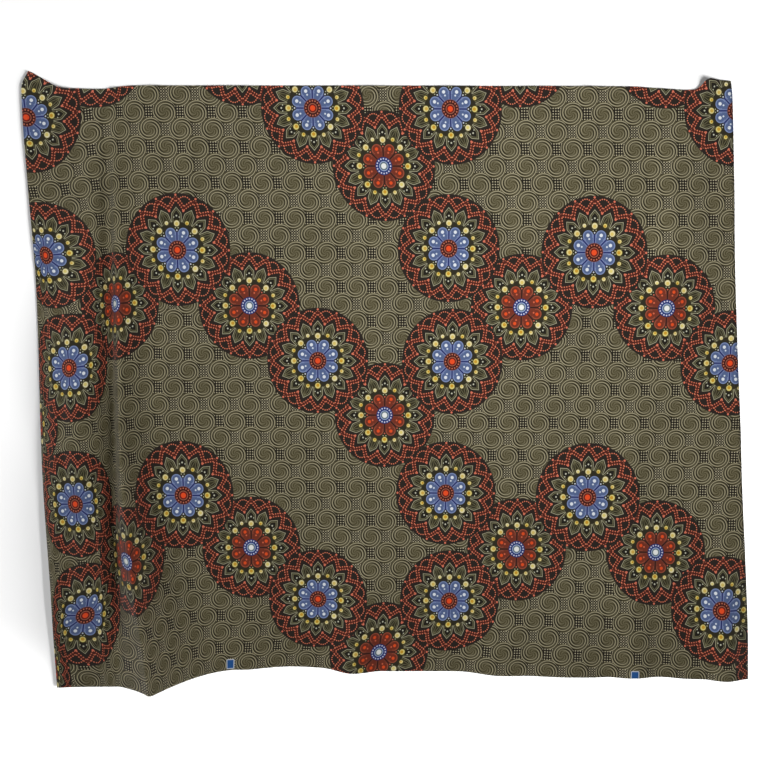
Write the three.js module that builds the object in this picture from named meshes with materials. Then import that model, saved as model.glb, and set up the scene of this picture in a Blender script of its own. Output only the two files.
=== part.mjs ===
// A sarong: one loom width of printed cotton, laid out face up on a flat surface.
// The cloth lies smooth but for one tall fold near its left edge, which starts from nothing at
// the top and stands up towards the hem, and for low ripples that run in from the hem.
// Units are millimetres. The cloth is drawn in its own frame: x runs along the hem, y up the
// cloth from the hem to the top edge, z up from the surface. At the end it is moved so that the
// bottom centre of its box is the origin.
import * as THREE from 'three';

// ---- Driving dimensions ----
const WALL = 1.5; // thickness of the cloth's wall
const HEM_Y = -580; // where the hem's selvedge lies
const TOP_Y = 570; // where the top selvedge lies
const SIDE_HEM = { width: 12, step: 2, rise: 0.8 }; // the turned and sewn ends, and their step
const CREST_ROUND = 0.4; // share of the fold's height that its rounded crest takes
const FOOT_POWER = 3; // how late the fold's left side steepens
const SETTLE_POWER = 2; // how early the fold's right side flattens

// ---- How finely the wall is divided ----
const ROWS = 28; // from hem to top
const STRIP_COLUMNS = 13; // from the left edge to the fold's crest
const SETTLE_COLUMNS = 8; // from the crest to where the fold comes back down
const FIELD_COLUMNS = 26; // from there to the right edge
const ROW_CROWDING = 0.12; // how much closer together the rows stand near the hem and the top
const CREST_CROWDING = 1.4; // how much closer together the columns stand near the crest
const SLOPE_STEP = 0.5; // how far apart two points are that give the cloth's slope

// Sections across the cloth, from the hem upwards. In each row:
//   y       how far up the cloth the section is taken
//   left    where the left edge lies
//   drop    how far the left edge has slipped down past the rest of the section
//   crest   where the fold's crest lies
//   lift    how high the crest stands
//   settle  where the fold's right side is back on the surface
//   right   where the right edge lies
const SECTIONS = [
  { y: -580, left: -658, drop: 38, crest: -449, lift: 105, settle: -289, right: 736 },
  { y: -480, left: -662, drop: 35, crest: -462, lift: 97, settle: -338, right: 731 },
  { y: -370, left: -665, drop: 32, crest: -479, lift: 86, settle: -385, right: 722 },
  { y: -200, left: -674, drop: 24, crest: -499, lift: 70, settle: -425, right: 708 },
  { y: -70, left: -677, drop: 21, crest: -510, lift: 58, settle: -437, right: 699 },
  { y: 95, left: -677, drop: 18, crest: -519, lift: 42, settle: -447, right: 686 },
  { y: 237, left: -679, drop: 18, crest: -521, lift: 28, settle: -457, right: 676 },
  { y: 393, left: -688, drop: 20, crest: -521, lift: 14, settle: -473, right: 668 },
  { y: 540, left: -695, drop: 20, crest: -521, lift: 4, settle: -485, right: 658 },
  { y: 570, left: -681, drop: 20, crest: -521, lift: 2, settle: -487, right: 654 },
];

// How far the hem's edge stands off a straight line, from left to right.
const HEM_LINE = [
  { x: -700, off: 0 },
  { x: -289, off: 1 },
  { x: -190, off: 8 },
  { x: -110, off: 5 },
  { x: -60, off: 0 },
  { x: 160, off: 0 },
  { x: 235, off: -6 },
  { x: 400, off: -9 },
  { x: 560, off: -9 },
  { x: 620, off: -13 },
  { x: 740, off: -12 },
];

// How far the top edge stands off a straight line. Both corners stand up as small ears.
const TOP_LINE = [
  { x: -700, off: 45 },
  { x: -681, off: 46 },
  { x: -656, off: 32 },
  { x: -622, off: 11 },
  { x: -590, off: 5 },
  { x: -540, off: -3 },
  { x: -480, off: 0 },
  { x: 463, off: 4 },
  { x: 520, off: 1 },
  { x: 590, off: 0 },
  { x: 609, off: 19 },
  { x: 628, off: 17 },
  { x: 660, off: 15 },
];

// How far an edge's own line reaches into the cloth before it has faded out.
const HEM_REACH = 220;
const TOP_REACH = 150;
const EAR_DEPTH = 30; // the top edge's line holds its full shape for this far down

// Low ripples that stand up from the surface. In each row: the ripple's middle, its height, its
// half width and half length, and how far it leans to the right for each millimetre up.
const RIPPLES = [
  { x: -66, y: -600, height: 17, halfWidth: 60, halfLength: 330, lean: 0.1 },
  { x: 235, y: -620, height: 9, halfWidth: 80, halfLength: 300, lean: -0.12 },
  { x: 400, y: -600, height: 6, halfWidth: 70, halfLength: 240, lean: 0.1 },
  { x: 505, y: -600, height: 11, halfWidth: 55, halfLength: 360, lean: -0.08 },
  { x: 690, y: -580, height: 15, halfWidth: 46, halfLength: 420, lean: -0.06 },
  { x: -190, y: 120, height: 6, halfWidth: 90, halfLength: 420, lean: 0.06 },
  { x: -385, y: 400, height: 7, halfWidth: 34, halfLength: 190, lean: 0.03 },
  { x: 330, y: 200, height: 7, halfWidth: 100, halfLength: 380, lean: -0.1 },
  { x: 585, y: 300, height: 9, halfWidth: 60, halfLength: 300, lean: -0.04 },
  { x: -628, y: 560, height: 7, halfWidth: 40, halfLength: 90, lean: -0.3 },
  { x: 618, y: 575, height: 6, halfWidth: 26, halfLength: 60, lean: 0.3 },
];

// ---- Small helpers ----
const clamp01 = (value) => Math.min(1, Math.max(0, value));
const smooth = (value) => clamp01(value) ** 2 * (3 - 2 * clamp01(value));

// A soft hill: one in the middle, nothing from a distance of one outwards.
const hill = (distance) => Math.max(0, 1 - distance * distance) ** 2;

// The lower of two heights, with the corner between them rounded over a height of `round`.
function roundedLower(first, second, round) {
  const share = clamp01(0.5 + (0.5 * (second - first)) / round);
  return second + (first - second) * share - round * share * (1 - share);
}

// Reads one column of a table at a place, along a smooth curve through the table's rows.
function readTable(table, place, key, column) {
  const last = table.length - 1;
  const at = Math.min(table[last][key], Math.max(table[0][key], place));
  let row = 0;
  while (row < last - 1 && at > table[row + 1][key]) row += 1;
  const slope = (index) => {
    const before = table[Math.max(0, index - 1)];
    const after = table[Math.min(last, index + 1)];
    return (after[column] - before[column]) / (after[key] - before[key]);
  };
  const span = table[row + 1][key] - table[row][key];
  const t = (at - table[row][key]) / span;
  const start = (1 + 2 * t) * (1 - t) ** 2 * table[row][column];
  const end = t * t * (3 - 2 * t) * table[row + 1][column];
  const leaving = t * (1 - t) ** 2 * span * slope(row);
  const arriving = t * t * (t - 1) * span * slope(row + 1);
  return start + end + leaving + arriving;
}

function sectionAt(y) {
  const section = {};
  for (const column of ['left', 'drop', 'crest', 'lift', 'settle', 'right']) {
    section[column] = readTable(SECTIONS, y, 'y', column);
  }
  return section;
}

// ---- The cloth's form ----
function foldHeight(section, x) {
  const climb = Math.max(0, (x - section.left) / (section.crest - section.left));
  const fall = Math.max(0, 1 - (x - section.crest) / (section.settle - section.crest));
  const leftSide = section.lift * climb ** FOOT_POWER;
  const rightSide = section.lift * fall ** SETTLE_POWER;
  return Math.max(0, roundedLower(leftSide, rightSide, CREST_ROUND * section.lift));
}

function rippleHeight(x, y) {
  let height = 0;
  for (const ripple of RIPPLES) {
    const along = y - ripple.y;
    const across = (x - ripple.x - ripple.lean * along) / ripple.halfWidth;
    height += ripple.height * hill(across) * hill(along / ripple.halfLength);
  }
  return height;
}

function hemRise(section, x) {
  const inside = Math.min(x - section.left, section.right - x);
  return SIDE_HEM.rise * (1 - smooth((inside - SIDE_HEM.width) / SIDE_HEM.step));
}

// A point of the cloth's upper face: x across, y up the flat cloth before it slips.
function clothPoint(x, y) {
  const section = sectionAt(y);
  const slip = 1 - smooth((x - section.left) / (section.settle - section.left));
  const hemShare = 1 - smooth((y - HEM_Y) / HEM_REACH);
  const topShare = 1 - smooth((TOP_Y - y - EAR_DEPTH) / TOP_REACH);
  const hemOff = hemShare * readTable(HEM_LINE, x, 'x', 'off');
  const topOff = topShare * readTable(TOP_LINE, x, 'x', 'off');
  const height = foldHeight(section, x) + rippleHeight(x, y);
  return new THREE.Vector3(x, y + hemOff + topOff - section.drop * slip, WALL + height);
}

function clothNormal(x, y) {
  const across = clothPoint(x + SLOPE_STEP, y).sub(clothPoint(x - SLOPE_STEP, y));
  const along = clothPoint(x, y + SLOPE_STEP).sub(clothPoint(x, y - SLOPE_STEP));
  return across.cross(along).normalize();
}

// ---- Where the wall's rows and columns stand ----
function rowPlaces() {
  const places = [];
  for (let row = 0; row <= ROWS; row += 1) {
    const even = row / ROWS;
    const crowded = even - ROW_CROWDING * Math.sin(2 * Math.PI * even);
    places.push(HEM_Y + (TOP_Y - HEM_Y) * crowded);
  }
  return places;
}

function columnPlaces(section) {
  const hemEdge = SIDE_HEM.width;
  const hemFoot = SIDE_HEM.width + SIDE_HEM.step;
  const stripStart = section.left + hemFoot;
  const places = [section.left, section.left + hemEdge, stripStart];
  for (let column = 1; column <= STRIP_COLUMNS; column += 1) {
    const share = 1 - (1 - column / STRIP_COLUMNS) ** CREST_CROWDING;
    places.push(stripStart + (section.crest - stripStart) * share);
  }
  for (let column = 1; column <= SETTLE_COLUMNS; column += 1) {
    const share = (column / SETTLE_COLUMNS) ** CREST_CROWDING;
    places.push(section.crest + (section.settle - section.crest) * share);
  }
  const fieldEnd = section.right - hemFoot;
  for (let column = 1; column <= FIELD_COLUMNS; column += 1) {
    places.push(section.settle + (fieldEnd - section.settle) * (column / FIELD_COLUMNS));
  }
  places.push(section.right - hemEdge, section.right);
  return places;
}

// ---- The wall as one closed body ----
function clothGeometry() {
  const upper = [];
  const lower = [];
  for (const y of rowPlaces()) {
    const section = sectionAt(y);
    for (const x of columnPlaces(section)) {
      const normal = clothNormal(x, y);
      upper.push(clothPoint(x, y).addScaledVector(normal, hemRise(section, x)));
      lower.push(clothPoint(x, y).addScaledVector(normal, -WALL));
    }
  }
  const columns = upper.length / (ROWS + 1);
  const under = upper.length;
  const faces = [];
  const at = (row, column) => row * columns + column;
  for (let row = 0; row < ROWS; row += 1) {
    for (let column = 0; column < columns - 1; column += 1) {
      const [a, b] = [at(row, column), at(row, column + 1)];
      const [c, d] = [at(row + 1, column + 1), at(row + 1, column)];
      faces.push(a, b, c, a, c, d);
      faces.push(under + a, under + c, under + b, under + a, under + d, under + c);
    }
  }
  const rim = [];
  for (let column = 0; column < columns; column += 1) rim.push(at(0, column));
  for (let row = 1; row <= ROWS; row += 1) rim.push(at(row, columns - 1));
  for (let column = columns - 2; column >= 0; column -= 1) rim.push(at(ROWS, column));
  for (let row = ROWS - 1; row > 0; row -= 1) rim.push(at(row, 0));
  rim.forEach((start, index) => {
    const end = rim[(index + 1) % rim.length];
    faces.push(under + start, under + end, end, under + start, end, start);
  });
  const geometry = new THREE.BufferGeometry();
  geometry.setFromPoints([...upper, ...lower]);
  geometry.setIndex(faces);
  return geometry;
}

// Moves a geometry so that the bottom centre of its box is the origin.
function seatOnOrigin(geometry) {
  geometry.computeBoundingBox();
  const box = geometry.boundingBox;
  const middle = box.getCenter(new THREE.Vector3());
  geometry.translate(-middle.x, -middle.y, -box.min.z);
  return geometry;
}

const printedCotton = new THREE.MeshStandardMaterial({
  color: 0x565038,
  roughness: 0.85,
  metalness: 0,
});

const sarongPanel = new THREE.Mesh(seatOnOrigin(clothGeometry()), printedCotton);
sarongPanel.name = 'sarong_panel';

const group = new THREE.Group();
group.add(sarongPanel);

export default group;
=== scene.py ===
"""A sarong: one loom width of printed cotton, laid out face up on a pale floor.

The cloth is drawn in its own frame, in millimetres: x runs along the hem, y up the cloth from
the hem to the top edge, z up from the floor. Its form is worked out from a short table of
sections, and its print from the flat cloth's own coordinates, which the mesh keeps in a UV map.
"""

from __future__ import annotations

import logging
import math
from dataclasses import dataclass, field, fields
from enum import Enum
from typing import Callable

import bpy
import numpy as np
from mathutils import Matrix, Vector

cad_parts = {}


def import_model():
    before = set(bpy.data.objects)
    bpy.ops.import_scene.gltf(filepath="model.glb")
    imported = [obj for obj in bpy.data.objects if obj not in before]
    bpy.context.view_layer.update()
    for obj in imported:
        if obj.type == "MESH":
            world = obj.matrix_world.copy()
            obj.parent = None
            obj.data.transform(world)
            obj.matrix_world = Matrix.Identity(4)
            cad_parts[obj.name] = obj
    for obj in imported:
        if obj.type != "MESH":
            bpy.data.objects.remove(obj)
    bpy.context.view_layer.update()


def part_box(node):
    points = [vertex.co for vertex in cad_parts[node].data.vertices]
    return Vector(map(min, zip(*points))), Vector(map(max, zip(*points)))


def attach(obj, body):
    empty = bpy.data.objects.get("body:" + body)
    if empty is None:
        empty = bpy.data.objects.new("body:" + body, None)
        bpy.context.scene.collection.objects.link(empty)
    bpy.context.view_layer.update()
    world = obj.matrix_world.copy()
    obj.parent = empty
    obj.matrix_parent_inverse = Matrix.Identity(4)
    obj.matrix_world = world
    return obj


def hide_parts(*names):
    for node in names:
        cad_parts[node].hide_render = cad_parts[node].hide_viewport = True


Array = np.ndarray
Columns = dict[str, Array]  # each column of the section table, read at some places
Pair = tuple[float, float]
Triple = tuple[float, float, float]
Thing = bpy.types.Object

LOG = logging.getLogger("sarong")
MM = 0.001
FLAT_MAP = "flat_cloth"  # the UV map that holds the flat cloth's coordinates, in metres


# ---- Tables: the cloth's sections and ripples ----
@dataclass(frozen=True)
class Section:
    """One section across the cloth, in millimetres.

    y is how far up the cloth it is taken, left, crest, settle and right are places across it,
    lift is the height of the fold's crest, and drop is how far the left edge has slipped down.
    cut is where the left edge lies on the flat cloth, curl is how much cloth is taken up along
    that edge, and gather is how much is taken up in the valley beside the fold.
    """

    y: float
    left: float
    cut: float
    curl: float
    gather: float
    drop: float
    crest: float
    lift: float
    settle: float
    right: float


@dataclass(frozen=True)
class EdgePoint:
    """How far an edge stands off a straight line at one place along it."""

    x: float
    off: float


@dataclass(frozen=True)
class Ripple:
    """A soft ridge, or a trough where its height is negative, that fades out at both ends."""

    x: float
    y: float
    height: float
    half_width: float
    half_length: float
    lean: float


@dataclass(frozen=True)
class Pull:
    """How far the print is pulled askew round one place, and how far that reaches."""

    x: float
    y: float
    aside: float
    up: float
    half_width: float
    half_length: float


@dataclass(frozen=True)
class Wave:
    """A long wave that runs askew over the cloth, in millimetres a radian across and up."""

    across: float
    up: float
    start: float = 0.0

    def at(self, x: Array, y: Array) -> Array:
        """Gives the wave's height, from -1 to 1."""
        return np.sin(x / self.across + y / self.up + self.start)


SECTIONS = (
    Section(-580, -658, -780, 45, 50, 38, -449, 105, -289, 736),
    Section(-480, -662, -775, 55, 40, 35, -462, 97, -338, 731),
    Section(-370, -665, -785, 35, 50, 32, -479, 86, -385, 722),
    Section(-200, -674, -780, 25, 45, 24, -499, 70, -425, 708),
    Section(-70, -677, -780, 30, 45, 21, -510, 58, -437, 699),
    Section(95, -677, -765, 25, 45, 18, -519, 42, -447, 686),
    Section(237, -679, -730, 25, 35, 18, -521, 28, -457, 676),
    Section(393, -688, -695, 0, 5, 20, -521, 14, -473, 668),
    Section(540, -695, -685, 0, 0, 20, -521, 4, -485, 658),
    Section(570, -681, -675, 0, 0, 20, -521, 2, -487, 654),
)


def edge_line(*points: Pair) -> tuple[EdgePoint, ...]:
    """Makes an edge's table from pairs of a place along it and how far it stands off there."""
    return tuple(EdgePoint(x, off) for x, off in points)


HEM_LINE = edge_line(
    (-700, 0), (-289, 1), (-190, 8), (-110, 5), (-60, 0), (160, 0), (235, -6), (400, -9),
    (560, -9), (620, -13), (740, -12),
)

TOP_LINE = edge_line(
    (-700, 45), (-681, 46), (-656, 32), (-622, 11), (-590, 5), (-540, -3), (-480, 0), (463, 4),
    (520, 1), (590, 0), (609, 19), (628, 17), (660, 15),
)

RIPPLES = (
    Ripple(-66, -600, 17, 60, 330, 0.10),
    Ripple(235, -620, 9, 80, 300, -0.12),
    Ripple(400, -600, 6, 70, 240, 0.10),
    Ripple(505, -600, 11, 55, 360, -0.08),
    Ripple(690, -580, 15, 46, 420, -0.06),
    Ripple(-190, 120, 6, 90, 420, 0.06),
    Ripple(-385, 400, 7, 34, 190, 0.03),
    Ripple(330, 200, 7, 100, 380, -0.10),
    Ripple(585, 300, 9, 60, 300, -0.04),
    Ripple(-628, 560, 7, 40, 90, -0.30),
    Ripple(618, 575, 6, 26, 60, 0.30),
)

# Slighter creases that only the finished cloth has.
CREASES = (
    Ripple(-533, -60, -34.0, 27, 540, 0.0),
    Ripple(-534, 330, -9.0, 16, 290, 0.0),
    Ripple(-530, -400, -15.0, 27, 240, -0.03),
    Ripple(-484, -330, 9.0, 34, 240, -0.13),
    Ripple(-636, -110, 20.0, 46, 560, 0.02),
    Ripple(-592, -110, 29.0, 42, 560, 0.0),
    Ripple(-568, 330, 6.0, 28, 260, 0.02),
    Ripple(-554, -400, 8.0, 34, 230, 0.03),
    Ripple(-446, 440, 4.0, 30, 170, 0.02),
    Ripple(-376, 440, 3.6, 15, 90, -0.13),
    Ripple(-431, 10, 3.2, 24, 190, 0.01),
    Ripple(-366, 20, 3.6, 22, 180, 0.02),
    Ripple(-60, -150, 3.6, 27, 560, 0.01),
    Ripple(-270, -520, 2.6, 22, 130, 0.05),
    Ripple(-300, 150, 2.0, 34, 240, -0.06),
    Ripple(-190, -260, 2.2, 30, 230, 0.05),
    Ripple(259, 370, 2.2, 24, 200, 0.01),
    Ripple(250, -110, 2.4, 30, 260, -0.03),
    Ripple(398, 90, -3.6, 26, 150, 0.02),
    Ripple(385, 480, 2.4, 22, 160, 0.02),
    Ripple(543, 250, 9.0, 38, 330, -0.02),
    Ripple(490, -170, 5.0, 36, 170, -0.04),
    Ripple(640, 250, 3.0, 26, 260, 0.0),
    Ripple(345, -560, 5.0, 62, 150, 0.08),
    Ripple(120, -420, 2.4, 26, 200, -0.05),
    Ripple(-600, 420, 3.0, 20, 170, -0.08),
)

# The cloth's slight unevenness: each row's share of it, and the two waves that make it.
SWELLS = (
    (1.0, Wave(41, 97), Wave(-133, 58)),
    (0.5, Wave(23, -71, 1.0), Wave(math.inf, 37, 2.0)),
)

PULLS = (
    Pull(0, 600, -11, 3, 3000, 300),
    Pull(-80, -600, -13, 0, 600, 150),
    Pull(760, -560, 0, -12, 520, 480),
    Pull(-520, 160, 9, 7, 120, 160),
    Pull(545, 155, 4, 0, 120, 160),
    Pull(-396, -223, 5, -2, 150, 160),
)


# ---- Small numeric helpers ----
def smooth(value: Array) -> Array:
    """Gives 0 up to 0, 1 from 1 on, and a smooth climb between."""
    held = np.clip(value, 0.0, 1.0)
    return held * held * (3.0 - 2.0 * held)


def hill(distance: Array) -> Array:
    """Gives 1 in the middle, and falls softly to 0 at a distance of 1."""
    return np.maximum(0.0, 1.0 - distance * distance) ** 2


def curve_through(rows: tuple, key: str, column: str) -> Callable[[Array], Array]:
    """Makes a smooth curve through one column of a table.

    Args:
        rows: The table's rows, sorted by key.
        key: The column that says where each row stands.
        column: The column to read.

    Returns:
        A function of a place, which is held within the table's ends.
    """
    at = np.array([getattr(row, key) for row in rows], float)
    value = np.array([getattr(row, column) for row in rows], float)
    last = len(rows) - 1
    before = np.maximum(np.arange(last + 1) - 1, 0)
    after = np.minimum(np.arange(last + 1) + 1, last)
    slope = (value[after] - value[before]) / (at[after] - at[before])

    def read(place: Array) -> Array:
        """Reads the curve at a place."""
        held = np.clip(place, at[0], at[-1])
        row = np.clip(np.searchsorted(at, held, side="left") - 1, 0, last - 1)
        span = at[row + 1] - at[row]
        t = (held - at[row]) / span
        start = (1 + 2 * t) * (1 - t) ** 2 * value[row]
        end = t * t * (3 - 2 * t) * value[row + 1]
        leaving = t * (1 - t) ** 2 * span * slope[row]
        arriving = t * t * (t - 1) * span * slope[row + 1]
        return start + end + leaving + arriving

    return read


def rounded_lower(first: Array, second: Array, round_by: Array) -> Array:
    """Gives the lower of two heights, with the corner between them rounded."""
    share = np.clip(0.5 + 0.5 * (second - first) / round_by, 0.0, 1.0)
    return second + (first - second) * share - round_by * share * (1 - share)


# ---- The cloth's form ----
@dataclass
class ClothForm:
    """The form of the laid-out cloth, in millimetres, from its tables and a few sizes."""

    hem_y: float = -580.0
    top_y: float = 570.0
    crest_cut: float = -530.0  # where the fold's crest runs on the flat cloth
    crest_round: float = 0.18  # how round the crest is, as a share of its height
    foot_power: float = 3.0
    settle_power: float = 2.0
    curl_width: float = 34.0
    gather_x: float = -547.0  # where the middle of the gathered cloth lies
    gather_width: float = 60.0
    hem_reach: float = 220.0  # how far up the hem's own line shows
    top_reach: float = 150.0
    ear_depth: float = 30.0
    end_hem: float = 12.0  # the width of the turned and sewn ends
    end_hem_step: float = 2.0
    end_hem_rise: float = 0.8
    swell: float = 0.5  # the height of the cloth's slight unevenness
    lies_at: float = 0.6  # the height of the upper face where the cloth rests

    def section(self, y: Array) -> Columns:
        """Reads every column of the section table at a place up the cloth."""
        columns = [column.name for column in fields(Section) if column.name != "y"]
        return {name: curve_through(SECTIONS, "y", name)(y) for name in columns}

    def fold_height(self, section: Columns, x: Array) -> Array:
        """Gives the height of the tall fold."""
        climb = np.maximum(0, (x - section["left"]) / (section["crest"] - section["left"]))
        fall = np.maximum(0, 1 - (x - section["crest"]) / (section["settle"] - section["crest"]))
        left_side = section["lift"] * climb**self.foot_power
        right_side = section["lift"] * fall**self.settle_power
        return np.maximum(0, rounded_lower(left_side, right_side, self.crest_round * section["lift"]))

    def ripple_height(self, x: Array, y: Array) -> Array:
        """Gives the height of all ripples, creases and the slight swell together."""
        height = np.zeros_like(x)
        for ripple in RIPPLES + CREASES:
            along = y - ripple.y
            across = (x - ripple.x - ripple.lean * along) / ripple.half_width
            height += ripple.height * hill(across) * hill(along / ripple.half_length)
        waves = np.zeros_like(x)
        for share, first, second in SWELLS:
            waves += share * first.at(x, y) * second.at(x, y)
        return height + self.swell * (1 + waves)

    def end_hem_height(self, section: Columns, x: Array) -> Array:
        """Gives the rise of the turned ends."""
        inside = np.minimum(x - section["left"], section["right"] - x)
        return self.end_hem_rise * (1 - smooth((inside - self.end_hem) / self.end_hem_step))

    def face(self, x: Array, y: Array, above: float = 0.0) -> Array:
        """Places points of the cloth's upper face.

        Args:
            x: Places across the cloth, in its own frame.
            y: Places up the flat cloth, before it slips.
            above: How far over the face the points lie.

        Returns:
            The points, in millimetres, with a last axis of three.
        """
        section = self.section(y)
        slip = 1 - smooth((x - section["left"]) / (section["settle"] - section["left"]))
        hem_share = 1 - smooth((y - self.hem_y) / self.hem_reach)
        top_share = 1 - smooth((self.top_y - y - self.ear_depth) / self.top_reach)
        off = hem_share * curve_through(HEM_LINE, "x", "off")(x)
        off += top_share * curve_through(TOP_LINE, "x", "off")(x)
        height = np.maximum(0, self.fold_height(section, x) + self.ripple_height(x, y))
        height += self.end_hem_height(section, x) + self.lies_at + above
        return np.stack([x, y + off - section["drop"] * slip, height], axis=-1)

    def flat(self, x: Array, y: Array) -> Array:
        """Says where a point of the laid-out cloth lies on the flat cloth, where its print is.

        Args:
            x: Places across the cloth, in its own frame.
            y: Places up the flat cloth, before it slips.

        Returns:
            The flat places, in millimetres, with a last axis of two.
        """
        section = self.section(y)
        width = section["crest"] - section["left"]
        strip = np.clip((x - section["left"]) / width, 0, 1)
        open_cloth = self.crest_cut - section["cut"] - section["curl"] - section["gather"]
        curled = 1 - (1 - np.clip((x - section["left"]) / self.curl_width, 0, 1)) ** 2
        gathered = smooth((x - self.gather_x) / self.gather_width + 0.5)
        strip_u = section["cut"] + open_cloth * strip
        strip_u = strip_u + section["curl"] * curled + section["gather"] * gathered
        fall = np.clip((x - section["crest"]) / (section["settle"] - section["crest"]), 0, 1)
        field_u = x + (self.crest_cut - section["crest"]) * (1 - fall) ** 2
        top_share = 1 - smooth((self.top_y - y - self.ear_depth) / self.top_reach)
        top_off = top_share * curve_through(TOP_LINE, "x", "off")(x)
        flat_x = np.where(x < section["crest"], strip_u, field_u)
        flat_y = y + top_off
        for pull in PULLS:
            share = hill((x - pull.x) / pull.half_width) * hill((y - pull.y) / pull.half_length)
            flat_x = flat_x - pull.aside * share
            flat_y = flat_y - pull.up * share
        return np.stack([flat_x, flat_y], axis=-1)


# ---- Drawing with shader nodes ----
class Value:
    """A number, vector or colour that a node gives. Arithmetic on it lays out more nodes."""

    def __init__(self, draft: "Draft", socket: bpy.types.NodeSocket) -> None:
        """Keeps the draft that the value belongs to and the socket that gives it."""
        self.draft = draft
        self.socket = socket

    def __add__(self, other: "Value | float") -> "Value":
        """Adds."""
        return self.draft.math("ADD", self, other)

    def __sub__(self, other: "Value | float") -> "Value":
        """Subtracts."""
        return self.draft.math("SUBTRACT", self, other)

    def __rsub__(self, other: float) -> "Value":
        """Subtracts the value from a number."""
        return self.draft.math("SUBTRACT", other, self)

    def __mul__(self, other: "Value | float") -> "Value":
        """Multiplies."""
        return self.draft.math("MULTIPLY", self, other)

    def __truediv__(self, other: "Value | float") -> "Value":
        """Divides."""
        return self.draft.math("DIVIDE", self, other)

    def __abs__(self) -> "Value":
        """Drops the sign."""
        return self.draft.math("ABSOLUTE", self)


# A Mix node's first socket and its output, for each kind of data.
MIX_SOCKETS = {"FLOAT": (2, 0), "VECTOR": (4, 1), "RGBA": (6, 2)}


@dataclass
class Draft:
    """Lays out the nodes of one material."""

    tree: bpy.types.NodeTree
    soft: float = 0.5  # how many millimetres a printed edge takes to change

    def node(self, kind: str, **settings: object) -> bpy.types.Node:
        """Adds a node and sets its own settings."""
        node = self.tree.nodes.new(kind)
        for name, value in settings.items():
            setattr(node, name, value)
        return node

    def feed(self, socket: bpy.types.NodeSocket, value: object) -> None:
        """Links a value to a socket, or sets a plain number or colour on it."""
        if isinstance(value, Value):
            self.tree.links.new(value.socket, socket)
        else:
            socket.default_value = value

    def fed(self, kind: str, inputs: dict[str, object], **settings: object) -> bpy.types.Node:
        """Adds a node, sets its own settings and feeds the inputs that are named."""
        node = self.node(kind, **settings)
        for name, value in inputs.items():
            self.feed(node.inputs[name], value)
        return node

    def math(self, operation: str, *inputs: object, clamp: bool = False) -> Value:
        """Adds a Math node.

        Args:
            operation: The node's operation.
            inputs: Values or numbers, in the order of the node's sockets.
            clamp: Whether the result is held between 0 and 1.

        Returns:
            The node's result.
        """
        node = self.node("ShaderNodeMath", operation=operation, use_clamp=clamp)
        for socket, value in zip(node.inputs, inputs):
            self.feed(socket, value)
        return Value(self, node.outputs[0])

    def vector(self, operation: str, *inputs: object, gives: str = "Vector") -> Value:
        """Adds a Vector Math node and gives one of its outputs."""
        node = self.node("ShaderNodeVectorMath", operation=operation)
        for socket, value in zip(node.inputs, inputs):
            self.feed(socket, value)
        return Value(self, node.outputs[gives])

    def mix_as(self, kind: str, share: object, first: object, second: object) -> Value:
        """Mixes two values of one kind: the first at a share of 0, the second at 1."""
        first_socket, output = MIX_SOCKETS[kind]
        node = self.node("ShaderNodeMix", data_type=kind)
        self.feed(node.inputs[0], share)
        self.feed(node.inputs[first_socket], first)
        self.feed(node.inputs[first_socket + 1], second)
        return Value(self, node.outputs[output])

    def mix(self, share: object, first: object, second: object) -> Value:
        """Mixes two colours."""
        return self.mix_as("RGBA", share, first, second)

    def choose(self, share: object, first: object, second: object) -> Value:
        """Mixes two vectors."""
        return self.mix_as("VECTOR", share, first, second)

    def blend(self, share: object, first: object, second: object) -> Value:
        """Mixes two numbers."""
        return self.mix_as("FLOAT", share, first, second)

    def length(self, vector: Value) -> Value:
        """Gives a vector's length."""
        return self.vector("LENGTH", vector, gives="Value")

    def wrap(self, spot: Value, across: float, up: float) -> Value:
        """Gives the place from the nearest point of a lattice, whose steps are across and up."""
        return self.vector("WRAP", spot, (across / 2, up / 2, 1.0), (-across / 2, -up / 2, -1.0))

    def staggered(self, spot: Value, across: float, up: float) -> Value:
        """Gives the place from the nearest point halfway between the lattice's own.

        It comes out a millimetre off the cloth's plane, so these points count as further away.
        """
        return self.wrap(self.vector("ADD", spot, (across / 2, up / 2, 1.0)), across, up)

    def turned(self, far: Value, angle: Value) -> tuple[Value, Value]:
        """Gives the x and y of a point that lies so far from the origin, at an angle to x."""
        return far * self.math("COSINE", angle), far * self.math("SINE", angle)

    def joined(self, *amounts: Value) -> Value:
        """Makes a vector of its parts."""
        node = self.node("ShaderNodeCombineXYZ")
        for socket, amount in zip(node.inputs, amounts):
            self.feed(socket, amount)
        return Value(self, node.outputs[0])

    def parts(self, vector: Value) -> tuple[Value, Value]:
        """Gives the x and y of a vector."""
        node = self.node("ShaderNodeSeparateXYZ")
        self.feed(node.inputs[0], vector)
        return Value(self, node.outputs[0]), Value(self, node.outputs[1])

    def below(self, value: Value, edge: object) -> Value:
        """Gives 1 where a value in millimetres is under an edge, with a soft print edge."""
        if isinstance(edge, Value):
            return self.math("MULTIPLY_ADD", edge - value, 1 / self.soft, 0.5, clamp=True)
        return self.math("MULTIPLY_ADD", value, -1 / self.soft, edge / self.soft + 0.5, clamp=True)

    def above(self, value: Value, edge: float) -> Value:
        """Gives 1 where a value in millimetres is over an edge, with a soft print edge."""
        return self.math("MULTIPLY_ADD", value, 1 / self.soft, 0.5 - edge / self.soft, clamp=True)

    def ring(self, value: Value, middle: float, half_width: float) -> Value:
        """Gives 1 where a value lies within half a width of a middle."""
        return self.below(abs(value - middle), half_width)

    def reach(self, x: Value, y: Value) -> Value:
        """Gives the distance of a point from the origin."""
        return self.math("SQRT", self.math("MULTIPLY_ADD", x, x, y * y))

    def dot(self, x: Value, y: Value, place: object, radius: object) -> Value:
        """Gives 1 inside a dot that lies at a place along x."""
        return self.below(self.reach(x - place, y), radius)

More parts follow.
